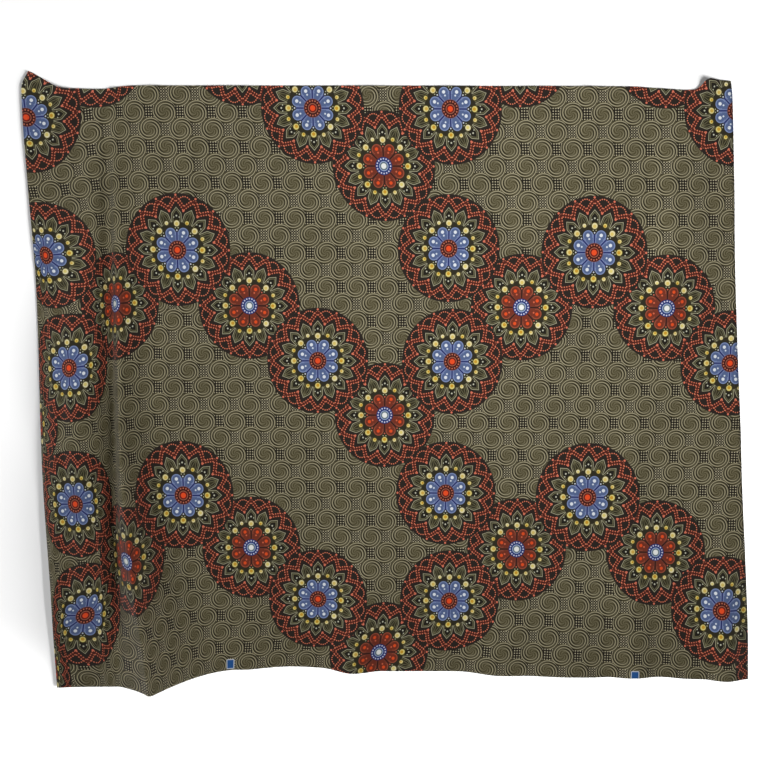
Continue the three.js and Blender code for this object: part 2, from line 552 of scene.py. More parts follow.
    def noise(self, where: Value, scale: float, detail: float = 2.0) -> Value:
        """Gives soft random clouds between about 0.3 and 0.7."""
        inputs = {"Vector": where, "Scale": scale, "Detail": detail}
        node = self.fed("ShaderNodeTexNoise", inputs, noise_dimensions="2D")
        return Value(self, node.outputs["Fac"])

    def bump(self, height: Value, strength: float, distance: float) -> Value:
        """Gives the normal of a bumpy surface."""
        inputs = {"Strength": strength, "Distance": distance, "Height": height}
        return Value(self, self.fed("ShaderNodeBump", inputs).outputs["Normal"])

    def surface(self, colour: Value, normal: Value, plain: dict[str, float]) -> None:
        """Ends the draft with its shader.

        Args:
            colour: The surface's colour.
            normal: The surface's normal.
            plain: The shader's sockets that hold one number all over the surface.
        """
        inputs = {"Base Color": colour, "Normal": normal, **plain}
        shader = self.fed("ShaderNodeBsdfPrincipled", inputs)
        out = self.node("ShaderNodeOutputMaterial")
        self.tree.links.new(shader.outputs[0], out.inputs["Surface"])


def blank_material(name: str) -> tuple[bpy.types.Material, Draft]:
    """Makes a material without nodes, and the draft that will fill it."""
    material = bpy.data.materials.new(name)
    material.use_nodes = True
    material.node_tree.nodes.clear()
    return material, Draft(material.node_tree)


def ink(red: int, green: int, blue: int) -> tuple[float, float, float, float]:
    """Turns a colour as seen, from 0 to 255, into the linear colour that shaders use."""
    linear = [((c / 255 + 0.055) / 1.055) ** 2.4 if c > 10 else c / 3295 for c in (red, green, blue)]
    return (linear[0], linear[1], linear[2], 1.0)


# ---- The print ----
class Tone(Enum):
    """The two colourings of a rosette, and how the print's nodes number them."""

    BLUE = 0.0
    RED = 1.0


class Motif:
    """A motif of the print.

    Its paint method lays nodes out in a draft, d, over the colour below, under, and gives the
    colour with the motif on it. Distances are in millimetres, angles in radians, and tone is a
    value of Tone.
    """


@dataclass(frozen=True)
class WhorlGround(Motif):
    """The olive ground: whorls on a staggered lattice, with dotted cells between them."""

    first: Pair = (93.0, 355.0)  # the middle of one whorl
    across: float = 59.7
    up: float = 65.8
    calm: float = 8.0  # within this distance a whorl's lines have faded away
    lively: float = 13.0  # from this distance on they are at their strongest
    outer: float = 22.4
    line_pitch: float = 5.2
    arms: int = 3
    dark_line: float = 0.95
    dark_at: float = 0.25  # as a share of the line pitch
    light_line: float = 0.56
    light_at: float = 0.62
    crescent: float = 0.22  # how much fainter the dark lines are on two sides of a whorl
    crescent_turn: float = 0.9
    inner_pitch: float = 6.4
    inner_arms: int = 5
    inner_contrast: float = 0.13
    grid_pitch: float = 5.0
    grid_dot: float = 1.25
    base: tuple = ink(74, 67, 39)
    dark: tuple = ink(11, 7, 3)
    light: tuple = ink(190, 181, 148)
    cell_dark: tuple = ink(30, 24, 13)
    cell_dot: tuple = ink(196, 187, 154)

    def nearest(self, d: Draft, spot: Value) -> Value:
        """Gives the offset from the nearest whorl's middle."""
        first = d.wrap(spot, self.across, self.up)
        second = d.staggered(spot, self.across, self.up)
        nearer = d.math("LESS_THAN", d.length(second), d.length(first))
        return d.choose(nearer, first, second)

    def cell_place(self, d: Draft, x: Value, y: Value, kind: Value) -> Value:
        """Gives the place from the middle of the nearest cell, so that all cells look alike."""
        beside = d.math("WRAP", x, self.across, 0.0) - self.across / 2
        over = d.math("WRAP", y, self.up, 0.0) - self.up / 2
        return d.joined(d.blend(kind, x, beside), d.blend(kind, over, y))

    def cells(self, d: Draft, spot: Value) -> Value:
        """Paints the dotted cells: an open grid in some, a dark check in the others."""
        x, y = d.parts(d.wrap(spot, self.across, self.up))
        kind = d.math("GREATER_THAN", abs(x) * (self.up / self.across), abs(y))
        pitch = self.grid_pitch
        place = self.cell_place(d, x, y, kind)
        square = d.length(d.wrap(place, pitch, pitch))
        between = d.length(d.staggered(place, pitch, pitch))
        dot_far = d.blend(kind, square, d.math("MINIMUM", square, between))
        dots = d.below(dot_far, self.grid_dot)
        return d.mix(dots, self.cell_dark, self.cell_dot)

    def paint(self, d: Draft, spot: Value) -> Value:
        """Gives the ground's colour at a place on the flat cloth, in millimetres."""
        spot = d.vector("SUBTRACT", spot, (*self.first, 0.0))
        x, y = d.parts(self.nearest(d, spot))
        far = d.reach(x, y)
        turn = d.math("ARCTAN2", y, x)
        wind = d.math("MULTIPLY_ADD", turn, self.arms / math.tau, far * (1 / self.line_pitch))
        along = d.math("FRACT", wind) * self.line_pitch
        climb = 1 / (self.lively - self.calm)
        drawn = d.math("MULTIPLY_ADD", far, climb, -self.calm * climb, clamp=True)
        sides = d.math("SINE", turn * 2.0 + self.crescent_turn)
        crescent = d.math("MULTIPLY_ADD", sides, self.crescent, 1 - self.crescent)
        inner_turn = turn * self.inner_arms + far * (math.tau / self.inner_pitch)
        inner_wave = d.math("SINE", inner_turn)
        whirl = d.math("MULTIPLY_ADD", inner_wave, self.inner_contrast, self.inner_contrast)
        eye = d.mix(whirl, self.base, self.light)
        light = d.ring(along, self.line_pitch * self.light_at, self.light_line) * drawn
        dark = d.ring(along, self.line_pitch * self.dark_at, self.dark_line) * drawn * crescent
        whorl = d.mix(dark, d.mix(light, eye, self.light), self.dark)
        return d.mix(d.above(far, self.outer), whorl, self.cells(d, spot))


@dataclass(frozen=True)
class Lace(Motif):
    """The rosette's outer ring: a zigzag of beads between fine lines, under beaded arches."""

    points: int = 16
    outer: float = 97.0
    inner: float = 78.0
    beads_per_side: int = 5
    bead: float = 1.2
    row_at: float = 2.7  # how far each of the two rows of beads lies from the zigzag's middle
    band: float = 4.2
    spill: Pair = (3.5, 1.5)  # how far the band runs past inner and outer
    arch_middle: float = 87.5
    arch_radius: float = 13.0
    arch_line: float = 0.7
    arch_beads: int = 18
    arch_clear: float = 1.5  # an arch shows from this far outside the zigzag
    outer_dot: float = 102.3
    inner_dot: float = 74.0
    dot: float = 2.1
    fill: tuple = ink(86, 33, 23)
    bead_ink: tuple = ink(240, 136, 102)
    dot_ink: tuple = ink(234, 124, 96)

    def paint(self, d: Draft, under: Value, far: Value, angle: Value) -> Value:
        """Paints the ring, by the distance from the rosette's middle and the angle from a point."""
        half = math.tau / self.points / 2
        climb = (self.outer - self.inner) / half
        middle = (self.outer + self.inner) / 2
        steep, level = climb / math.hypot(climb, middle), middle / math.hypot(climb, middle)
        off = (far - d.math("MULTIPLY_ADD", angle, -climb, self.outer)) * level
        along = d.math("MULTIPLY_ADD", far, steep, -self.inner * steep)
        along = along + d.math("MULTIPLY_ADD", angle, -level * middle, level * middle * half)
        pitch = math.hypot(self.outer - self.inner, middle * half) / self.beads_per_side
        step = (d.math("FRACT", d.math("MULTIPLY_ADD", along, 1 / pitch, 0.5)) - 0.5) * pitch
        within = d.below(far, self.outer + self.spill[1]) * d.above(far, self.inner - self.spill[0])
        paint = d.mix(d.below(abs(off), self.band) * within, under, self.fill)
        bead = d.below(d.reach(step, abs(off) - self.row_at), self.bead)
        paint = d.mix(bead * within, paint, self.bead_ink)
        x, y = d.turned(far, half - angle)
        arch_x = x - self.arch_middle
        bow = d.reach(arch_x, y) - self.arch_radius
        arch_turn = d.math("ARCTAN2", y, arch_x) * (self.arch_beads / math.tau)
        bead_along = d.math("FRACT", arch_turn + 0.5) - 0.5
        bead_along = bead_along * (math.tau * self.arch_radius / self.arch_beads)
        outside = d.above(off, self.arch_clear)
        paint = d.mix(d.ring(bow, 0.0, self.arch_line) * outside, paint, self.fill)
        paint = d.mix(d.below(d.reach(bow, bead_along), self.bead) * outside, paint, self.bead_ink)
        paint = d.mix(d.dot(x, y, self.inner_dot, self.dot), paint, self.dot_ink)
        outer_dot = d.dot(*d.turned(far, angle), self.outer_dot, self.dot)
        return d.mix(outer_dot, paint, self.dot_ink)


@dataclass(frozen=True)
class LotusLeaves(Motif):
    """A ring of pointed leaves with double outlines, every other one dark inside."""

    tip: float = 80.6
    half_width: float = 10.4
    slope: Pair = (0.66, 0.75)
    root: float = 52.0
    shoulder: float = 2.5  # how softly a leaf's point runs into its sides
    outline: float = 0.7
    outline_half: float = 0.55
    inner_line: float = 3.6
    inner_half: float = 0.5
    vein_slope: float = 0.2
    vein_reach: float = 14.9
    vein_line: float = 0.4
    dot_at: float = 64.0
    dot: float = 1.6
    side_dot_at: Pair = (61.3, 5.6)
    side_dot: float = 1.1
    fill: tuple = ink(46, 42, 27)
    line_ink: tuple = ink(184, 180, 146)
    inner_ink: tuple = ink(132, 127, 92)
    dark: tuple = ink(33, 29, 19)
    vein: tuple = ink(56, 51, 31)
    dot_ink: tuple = ink(214, 214, 190)

    def paint(self, d: Draft, under: Value, x: Value, y: Value, even: Value) -> Value:
        """Paints the leaves, by the place along and off a leaf's middle. Even leaves are dark."""
        rise, spread = self.slope
        side = d.math("MULTIPLY_ADD", x, rise, -self.tip * rise) + y * spread
        edge = d.math("SMOOTH_MAX", side, y - self.half_width, self.shoulder)
        depth = edge * -1.0
        above_root = d.above(x, self.root)
        paint = d.mix(d.above(depth, 0.0) * above_root, under, self.fill)
        inside = d.above(depth, self.inner_line) * above_root
        paint = d.mix(inside * even, paint, self.dark)
        outline = d.ring(depth, self.outline, self.outline_half) * above_root
        paint = d.mix(outline, paint, self.line_ink)
        inner_line = d.ring(depth, self.inner_line, self.inner_half) * above_root
        paint = d.mix(inner_line, paint, self.inner_ink)
        odd = (1.0 - even) * above_root
        vein_side = d.math("MULTIPLY_ADD", x, self.vein_slope, y - self.vein_reach)
        paint = d.mix(d.below(vein_side, 0.0) * odd, paint, self.vein)
        vein_line = d.ring(vein_side, self.vein_line, self.vein_line)
        paint = d.mix(vein_line * odd, paint, self.inner_ink)
        side_x, side_y = self.side_dot_at
        side_dot = d.below(d.reach(x - side_x, y - side_y), self.side_dot)
        dots = d.math("MAXIMUM", d.dot(x, y, self.dot_at, self.dot), side_dot)
        return d.mix(dots * even, paint, self.dot_ink)


@dataclass(frozen=True)
class BeadRing(Motif):
    """Sixteen beads round the petals, by turns large and small."""

    count: int = 16
    large_at: float = 49.8
    large: float = 5.5
    small_at: float = 54.2
    small: float = 3.6
    heart_share: float = 0.62
    heart_off: float = 0.8
    shadow: float = 1.5
    pair_at: Pair = (41.6, 2.9)
    pair_dot: float = 1.1
    chance: Triple = (12.99, 0.7, 43.76)  # makes each bead's luck uneven
    pale_spread: float = 1.6
    pale_from: float = -0.5
    shadow_ink: tuple = ink(84, 74, 22)
    gold: tuple = ink(214, 164, 44)
    pale: tuple = ink(238, 222, 132)
    cream: tuple = ink(246, 236, 196)
    dot_ink: tuple = ink(196, 198, 160)

    def paint(
        self, d: Draft, under: Value, x: Value, y: Value, even: Value, way: tuple[Value, Value]
    ) -> Value:
        """Paints the beads.

        Args:
            d: The draft.
            under: The colour below.
            x: The place along the nearest bead's direction.
            y: The place off that direction, from 0 up.
            even: 1 for the large beads.
            way: The place from the rosette's middle, across and up.

        Returns:
            The colour with the beads on it.
        """
        along = x - d.blend(even, self.small_at, self.large_at)
        size = d.blend(even, self.small, self.large)
        far = d.reach(along, y)
        pale = self.paleness(d, *way)
        paint = d.mix(d.below(far, size + self.shadow), under, self.shadow_ink)
        paint = d.mix(d.below(far, size), paint, d.mix(pale, self.pale, self.cream))
        heart = d.reach(along + self.heart_off, y)
        heart_ink = d.mix(pale, self.gold, self.pale)
        paint = d.mix(d.below(heart, size * self.heart_share), paint, heart_ink)
        pair_x, pair_y = self.pair_at
        pairs = d.below(d.reach(x - pair_x, y - pair_y), self.pair_dot) * even
        return d.mix(pairs, paint, self.dot_ink)

    def paleness(self, d: Draft, across: Value, up: Value) -> Value:
        """Gives how pale each bead is, uneven from bead to bead, from 0 for gold to 1 for cream."""
        pace, start, gain = self.chance
        turn = d.math("ARCTAN2", up, across) * (self.count / math.tau)
        bead = d.math("FLOORED_MODULO", d.math("ROUND", turn), float(self.count))
        luck = d.math("FRACT", d.math("SINE", bead * pace + start) * gain)
        return d.math("MULTIPLY_ADD", luck, self.pale_spread, self.pale_from, clamp=True)


@dataclass(frozen=True)
class Petals(Motif):
    """Eight round petals with a bar between each two, in the rosette's blue or red."""

    count: int = 8
    middle: float = 33.6
    radius: float = 10.5
    foot: float = 34.0
    speckle_turn: float = 2.6
    speckle_contrast: float = 0.9
    speckle_least: float = 0.1
    rim: float = 1.1
    rim_half: float = 0.9
    rim_from: float = 6.0  # how far inside the petal's middle its pale rim starts
    beside: float = 3.3
    bar: Pair = (26.2, 8.0)
    bar_half: float = 1.35
    tip_dot: Pair = (37.0, 1.4)  # how far out it lies, and its radius
    outer_dot: Pair = (34.7, 3.3)
    inner_dot: Pair = (27.3, 1.8)
    body: tuple = (ink(96, 114, 156), ink(130, 54, 34))
    speckle: tuple = (ink(66, 84, 132), ink(94, 34, 22))
    edge: tuple = (ink(136, 154, 198), ink(166, 84, 58))
    side: tuple = (ink(124, 138, 182), ink(122, 60, 44))
    bar_ink: tuple = (ink(26, 40, 104), ink(52, 22, 16))
    tip_ink: tuple = (ink(226, 232, 244), ink(220, 104, 84))
    outer_ink: tuple = (ink(240, 246, 252), ink(242, 84, 32))
    inner_ink: tuple = (ink(226, 236, 248), ink(222, 106, 72))

    def paint(self, d: Draft, under: Value, tone: Value, far: Value, angle: Value) -> Value:
        """Paints the petals, by the distance from the rosette's middle and the angle from a petal's."""
        x, y = d.turned(far, angle)
        lobe = d.reach(x - self.middle, y)
        body = d.math("MAXIMUM", d.below(lobe, self.radius), d.below(far, self.foot))
        speckles = d.math("SINE", x * self.speckle_turn) * d.math("SINE", y * self.speckle_turn)
        least = self.speckle_least
        share = d.math("MULTIPLY_ADD", speckles, self.speckle_contrast, least, clamp=True)
        fill = d.mix(share, d.mix(tone, *self.body), d.mix(tone, *self.speckle))
        paint = d.mix(body, under, fill)
        outward = d.above(x, self.middle - self.rim_from)
        rim = d.ring(lobe, self.radius - self.rim, self.rim_half) * outward
        paint = d.mix(rim, paint, d.mix(tone, *self.edge))
        along, aside = d.turned(far, math.tau / self.count / 2 - angle)
        beside = d.below(aside, self.beside) * d.below(far, self.foot)
        paint = d.mix(beside, paint, d.mix(tone, *self.side))
        bar = d.below(aside, self.bar_half) * d.ring(along, *self.bar)
        paint = d.mix(bar, paint, d.mix(tone, *self.bar_ink))
        paint = d.mix(d.dot(along, aside, *self.tip_dot), paint, d.mix(tone, *self.tip_ink))
        paint = d.mix(d.dot(x, y, *self.outer_dot), paint, d.mix(tone, *self.outer_ink))
        return d.mix(d.dot(x, y, *self.inner_dot), paint, d.mix(tone, *self.inner_ink))


@dataclass(frozen=True)
class RingInk:
    """One disc of a rosette's middle, and its colour in the blue and in the red rosette."""

    radius: float
    blue: tuple
    red: tuple


@dataclass(frozen=True)
class Heart(Motif):
    """The rosette's middle: a bright eye in rings, with a circle of dots round it."""

    rings: tuple = (
        RingInk(18.0, ink(132, 74, 66), ink(96, 34, 26)),
        RingInk(17.0, ink(66, 20, 16), ink(36, 56, 120)),
        RingInk(9.4, ink(178, 104, 80), ink(172, 192, 226)),
        RingInk(7.9, ink(60, 14, 10), ink(60, 74, 110)),
        RingInk(6.8, ink(140, 24, 12), ink(128, 148, 150)),
        RingInk(5.2, ink(252, 84, 34), ink(252, 254, 250)),
    )
    dot_at: float = 14.0
    dot: float = 1.5
    dot_ink: tuple = (ink(206, 116, 90), ink(222, 222, 244))

    def paint(self, d: Draft, under: Value, tone: Value, far: Value, x: Value, y: Value) -> Value:
        """Paints the middle over the petals' feet."""
        paint = under
        for ring in self.rings:
            paint = d.mix(d.below(far, ring.radius), paint, d.mix(tone, ring.blue, ring.red))
        return d.mix(d.dot(x, y, self.dot_at, self.dot), paint, d.mix(tone, *self.dot_ink))


@dataclass(frozen=True)
class Rosette(Motif):
    """A round flower on a dark disc: heart, petals, beads, lotus leaves and beaded lace."""

    radius: float = 105.5
    field_radius: float = 58.0
    sectors: int = 16
    drawn_out: Pair = (0.975, 1.025)  # the print is stretched up the cloth
    rim: tuple = ink(42, 33, 27)
    field_ink: tuple = ink(48, 44, 29)
    lace: Lace = field(default_factory=Lace)
    leaves: LotusLeaves = field(default_factory=LotusLeaves)
    beads: BeadRing = field(default_factory=BeadRing)
    petals: Petals = field(default_factory=Petals)
    heart: Heart = field(default_factory=Heart)

    def paint(self, d: Draft, under: Value, spot: Value, tone: Value) -> Value:
        """Paints one rosette, whose middle lies so far from the spot, over the ground."""
        across, up = d.parts(spot)
        across = across * (1 / self.drawn_out[0])
        up = up * (1 / self.drawn_out[1])
        far = d.reach(across, up)
        turn = d.math("ARCTAN2", up, across) * (1 / math.tau)
        angle = abs(d.math("FRACT", turn * self.sectors + 0.5) - 0.5) * (math.tau / self.sectors)
        x, y = d.turned(far, angle)
        wide = abs(d.math("FRACT", turn * (self.sectors / 2)) - 0.5) * (math.tau * 2 / self.sectors)
        even = d.math("GREATER_THAN", wide, math.tau / self.sectors / 2)
        paint = d.mix(d.below(far, self.radius), under, self.rim)
        paint = self.lace.paint(d, paint, far, angle)
        paint = d.mix(d.below(far, self.field_radius), paint, self.field_ink)
        paint = self.leaves.paint(d, paint, x, y, even)
        paint = self.beads.paint(d, paint, x, y, even, (across, up))
        paint = self.petals.paint(d, paint, tone, far, wide)
        return self.heart.paint(d, paint, tone, far, x, y)


@dataclass(frozen=True)
class PrintLayout:
    """Where the rosettes stand: a zigzag chain in each repeat, and one more inside it."""

    repeat: Pair = (805.5, 480.4)
    size: float = 0.957
    first_size: float = 1.0
    first: Pair = (-403.0, 260.0)
    steps: tuple = (0.0, 138.5, 271.5, 402.7, 534.0, 667.0)
    drop: float = 106.5
    extra: Pair = (121.5, 266.0)
    far_away: float = 400.0

    def places(self, tone: Tone) -> list[Triple]:
        """Lists each rosette of one colouring in a repeat: its middle and its size."""
        places = []
        for link, step in enumerate(self.steps):
            red = link % 2 == 1
            if red == (tone is Tone.RED):
                down = min(link, len(self.steps) - link)
                size = self.size if link else self.first_size
                places.append((self.first[0] + step, self.first[1] - down * self.drop, size))
        if tone is Tone.BLUE:
            places.append((self.extra[0], self.extra[1], self.size))
        return places

    def nearest(self, d: Draft, spot: Value, rosette: Rosette) -> tuple[Value, Value]:
        """Finds the rosette that covers a place. The blue ones lie on the red ones.

        Args:
            d: The draft.
            spot: The place on the flat cloth, in millimetres.
            rosette: The rosette, whose disc says how far it covers.

        Returns:
            The place from that rosette's middle, and its tone.
        """
        round_again = (1 / rosette.drawn_out[0], 1 / rosette.drawn_out[1], 1.0)
        found: object = (self.far_away, 0.0, 0.0)
        covered_by_blue: object = 0.0
        for tone in (Tone.RED, Tone.BLUE):
            for across, up, size in self.places(tone):
                moved = d.vector("SUBTRACT", spot, (across, up, 0.0))
                offset = d.vector("SCALE", d.wrap(moved, *self.repeat))
                offset.socket.node.inputs["Scale"].default_value = 1 / size
                far = d.length(d.vector("MULTIPLY", offset, round_again))
                inside = d.math("LESS_THAN", far, rosette.radius)
                found = d.choose(inside, found, offset)
                if tone is Tone.BLUE:
                    covered_by_blue = d.math("MAXIMUM", covered_by_blue, inside)
        return found, 1.0 - covered_by_blue


@dataclass(frozen=True)
class HemTile(Motif):
    """A plain blue tile with a pale edge, printed at the hem once in each repeat."""

    place: Pair = (-300.0, -567.5)
    half_size: Pair = (8.6, 10.0)
    corner: float = 3.0
    edge: float = 1.7
    once: float = 2000.0  # the row of tiles comes once in this height, so once on the cloth
    blue: tuple = ink(38, 92, 158)
    pale: tuple = ink(216, 224, 232)

    def paint(self, d: Draft, under: Value, spot: Value, repeat: float) -> Value:
        """Paints the tiles over the cloth."""
        moved = d.vector("SUBTRACT", spot, (*self.place, 0.0))
        x, y = d.parts(d.wrap(moved, repeat, self.once))
        over_x = d.math("MAXIMUM", abs(x) - (self.half_size[0] - self.corner), 0.0)
        over_y = d.math("MAXIMUM", abs(y) - (self.half_size[1] - self.corner), 0.0)
        over = d.reach(over_x, over_y)
        paint = d.mix(d.below(over, self.corner), under, self.pale)
        return d.mix(d.below(over, self.corner - self.edge), paint, self.blue)


# ---- Finishes ----
class ClothSide(Enum):
    """The two faces of the cloth."""

    PRINTED = "printed"
    REVERSE = "reverse"


@dataclass(frozen=True)
class PrintedCotton:
    """Plain-weave cotton with the print on it, matt with a faint sheen."""

    side: ClothSide
    roughness: float = 0.86
    specular: float = 0.25
    sheen: float = 0.12
    sheen_roughness: float = 0.5
    thread_pitch: float = 0.55
    weave_depth: float = 0.06
    weave_strength: float = 0.35
    cloud_scale: float = 9.0  # soft clouds in the dye, so many to a metre
    cloud_share: float = 0.22
    slub_scale: Triple = (40.0, 900.0, 0.0)  # thicker threads, to a metre
    slub_share: float = 0.16
    fade: tuple = ink(132, 126, 100)
    fade_share: float = 0.45  # how far the reverse has faded
    ground: WhorlGround = field(default_factory=WhorlGround)
    rosette: Rosette = field(default_factory=Rosette)
    layout: PrintLayout = field(default_factory=PrintLayout)
    tile: HemTile = field(default_factory=HemTile)

    def print_colour(self, d: Draft, spot: Value) -> Value:
        """Paints the whole print: ground, rosettes and hem tiles."""
        middle, tone = self.layout.nearest(d, spot, self.rosette)
        paint = self.ground.paint(d, spot)
        paint = self.rosette.paint(d, paint, middle, tone)
        return self.tile.paint(d, paint, spot, self.layout.repeat[0])

    def material(self) -> bpy.types.Material:
        """Makes the cotton's material.

        Returns:
            The material, whose print and weave read the flat cloth's UV map.
        """
        material, d = blank_material(f"{self.side.value}_cotton")
        flat = d.node("ShaderNodeUVMap", uv_map=FLAT_MAP)
        metres = Value(d, flat.outputs["UV"])
        spot = d.vector("MULTIPLY", metres, (1 / MM, 1 / MM, 0.0))
        clouds = d.noise(metres, self.cloud_scale, 3.0)
        slubs = d.noise(d.vector("MULTIPLY", metres, self.slub_scale), 1.0, 1.0)
        dye = d.math("MULTIPLY_ADD", clouds, self.cloud_share, 1 - self.cloud_share / 2)
        dye = dye + (slubs - 0.5) * self.slub_share
        paint = d.vector("MULTIPLY", self.print_colour(d, spot), d.joined(dye, dye, dye))
        if self.side is ClothSide.REVERSE:
            paint = d.mix(self.fade_share, paint, self.fade)
        plain = {
            "Roughness": self.roughness,
            "Sheen Weight": self.sheen,
            "Sheen Roughness": self.sheen_roughness,
            "Specular IOR Level": self.specular,
        }
        d.surface(paint, self.weave(d, spot), plain)
        return material

    def weave(self, d: Draft, spot: Value) -> Value:
        """Makes the bump of a plain weave, in which warp and weft lie over each other in turn."""
        x, y = d.parts(spot)
        turn = math.pi / self.thread_pitch
        over = d.math("SINE", x * turn) * d.math("SINE", y * turn)
        threads = abs(d.math("SINE", x * turn)) + abs(d.math("SINE", y * turn))
        return d.bump(over + threads / 2, self.weave_strength, self.weave_depth * MM)


@dataclass(frozen=True)
class SewingThread:
    """Twisted cotton thread, in the ground's dark olive."""

    colour: tuple = ink(58, 54, 36)
    pale: tuple = ink(98, 92, 64)
    roughness: float = 0.7
    twist_scale: float = 900.0
    twist_strength: float = 0.4
    twist_depth: float = 0.1

    def material(self) -> bpy.types.Material:
        """Makes the thread's material, with a fine twist along it."""
        material, d = blank_material("sewing_thread")
        place = Value(d, d.node("ShaderNodeTexCoord").outputs["Object"])
        inputs = {"Vector": place, "Scale": self.twist_scale}
        twist = d.fed("ShaderNodeTexWave", inputs, wave_type="BANDS", bands_direction="DIAGONAL")
        strands = Value(d, twist.outputs["Fac"])
        colour = d.mix(strands, self.colour, self.pale)
        normal = d.bump(strands, self.twist_strength, self.twist_depth * MM)
        d.surface(colour, normal, {"Roughness": self.roughness})
        return material


@dataclass(frozen=True)
class PaleFloor:
    """A plain pale floor."""

    colour: tuple = ink(202, 202, 202)
    roughness: float = 0.95
    specular: float = 0.1

    def material(self) -> bpy.types.Material:
        """Makes the floor's material."""
        material = bpy.data.materials.new("pale_floor")
        material.use_nodes = True
        shader = material.node_tree.nodes["Principled BSDF"]
        shader.inputs["Base Color"].default_value = self.colour
        shader.inputs["Roughness"].default_value = self.roughness
        shader.inputs["Specular IOR Level"].default_value = self.specular
        return material


# ---- The pieces ----
def fresh_object(name: str) -> Thing:
    """Renames the object that an operator has just added, with its mesh."""
    made = bpy.context.active_object
    made.name = name
    made.data.name = name
    return made


@dataclass
class SarongPanel:
    """The cloth: a thin sheet on the cloth's form, with the flat cloth in its UV map."""

    form: ClothForm
    rows: int = 188
    end_columns: Triple = (0.0, 0.5, 0.84)  # as shares of a turned end
    strip_columns: int = 62
    strip_crowding: float = 0.9
    settle_columns: int = 34
    settle_crowding: float = 1.2
    field_columns: int = 130
    row_crowding: float = 0.1
    thickness: float = 0.5
    flat_size: Pair = (1.42, 1.15)
    flat_area: float = 1.63

    def column_places(self, section: Columns) -> Array:
        """Spaces the columns from the left edge to the right one, for each row.

        Args:
            section: The section at each row, each column of it of shape (rows, 1).

        Returns:
            Places across the cloth, of shape (rows, columns).
        """
        foot = self.form.end_hem + self.form.end_hem_step
        hem_share = np.array(self.end_columns)[None, :]
        start, end = section["left"] + foot, section["right"] - foot
        strip = np.linspace(0, 1, self.strip_columns + 1)[None, :-1] ** self.strip_crowding
        settle = np.linspace(0, 1, self.settle_columns + 1)[None, :-1] ** self.settle_crowding
        spread = np.linspace(0, 1, self.field_columns + 1)[None, :-1]
        return np.concatenate(
            [
                section["left"] + foot * hem_share,
                start + (section["crest"] - start) * strip,
                section["crest"] + (section["settle"] - section["crest"]) * settle,
                section["settle"] + (end - section["settle"]) * spread,
                end + foot * (1 - hem_share[:, ::-1]),
            ],
            axis=1,
        )

    def grid(self) -> tuple[Array, Array]:
        """Gives the x and y of each grid point, of shape (rows, columns)."""
        even = np.linspace(0, 1, self.rows)[:, None]
        crowded = even - self.row_crowding * np.sin(math.tau * even)
        y = self.form.hem_y + (self.form.top_y - self.form.hem_y) * crowded
        x = self.column_places(self.form.section(y))
        return x, np.broadcast_to(y, x.shape)

    def build(self, shift: Array) -> Thing:
        """Models the sheet from a grid and gives it its thickness.

        Args:
            shift: How far the cloth's own frame lies from the part's, in millimetres.

        Returns:
            The finished object, at the origin.
        """
        x, y = self.grid()
        rows, columns = x.shape
        bpy.ops.object.select_all(action="DESELECT")
        bpy.ops.mesh.primitive_grid_add(x_subdivisions=columns - 1, y_subdivisions=rows - 1, size=1.0)
        panel = fresh_object("sarong_cloth")
        mesh = panel.data
        start = np.zeros(len(mesh.vertices) * 3)
        mesh.vertices.foreach_get("co", start)
        start = start.reshape(-1, 3) + 0.5
        row = np.rint(start[:, 1] * (rows - 1)).astype(int)
        column = np.rint(start[:, 0] * (columns - 1)).astype(int)
        places = (self.form.face(x, y) + shift)[row, column] * MM
        mesh.vertices.foreach_set("co", places.ravel())
        self.lay_flat_map(mesh, self.form.flat(x, y)[row, column] * MM)
        mesh.update()
        solid = panel.modifiers.new("cloth_thickness", "SOLIDIFY")
        solid.thickness = self.thickness * MM
        solid.offset = -1.0
        solid.material_offset = 1
        solid.material_offset_rim = 0
        bpy.ops.object.modifier_apply(modifier=solid.name)
        bpy.ops.object.shade_smooth()
        return panel

    def lay_flat_map(self, mesh: bpy.types.Mesh, flat: Array) -> None:
        """Writes the flat cloth's coordinates into the mesh's UV map."""
        while mesh.uv_layers:
            mesh.uv_layers.remove(mesh.uv_layers[0])
        layer = mesh.uv_layers.new(name=FLAT_MAP)
        corner = np.zeros(len(mesh.loops), np.int32)
        mesh.loops.foreach_get("vertex_index", corner)
        layer.uv.foreach_set("vector", flat[corner].astype(np.float32).ravel())

    def dress(self, panel: Thing) -> None:
        """Gives the sheet its two faces."""
        panel.data.materials.clear()
        for side in ClothSide:
            panel.data.materials.append(PrintedCotton(side).material())

    def declare(self, panel: Thing) -> None:
        """Says what carries the sheet, and hides the part that it replaces."""
        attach(panel, "root")
        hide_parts("sarong_panel")


class ClothEnd(Enum):
    """The two cut ends, which are turned under and sewn."""

    LEFT = "left"
    RIGHT = "right"


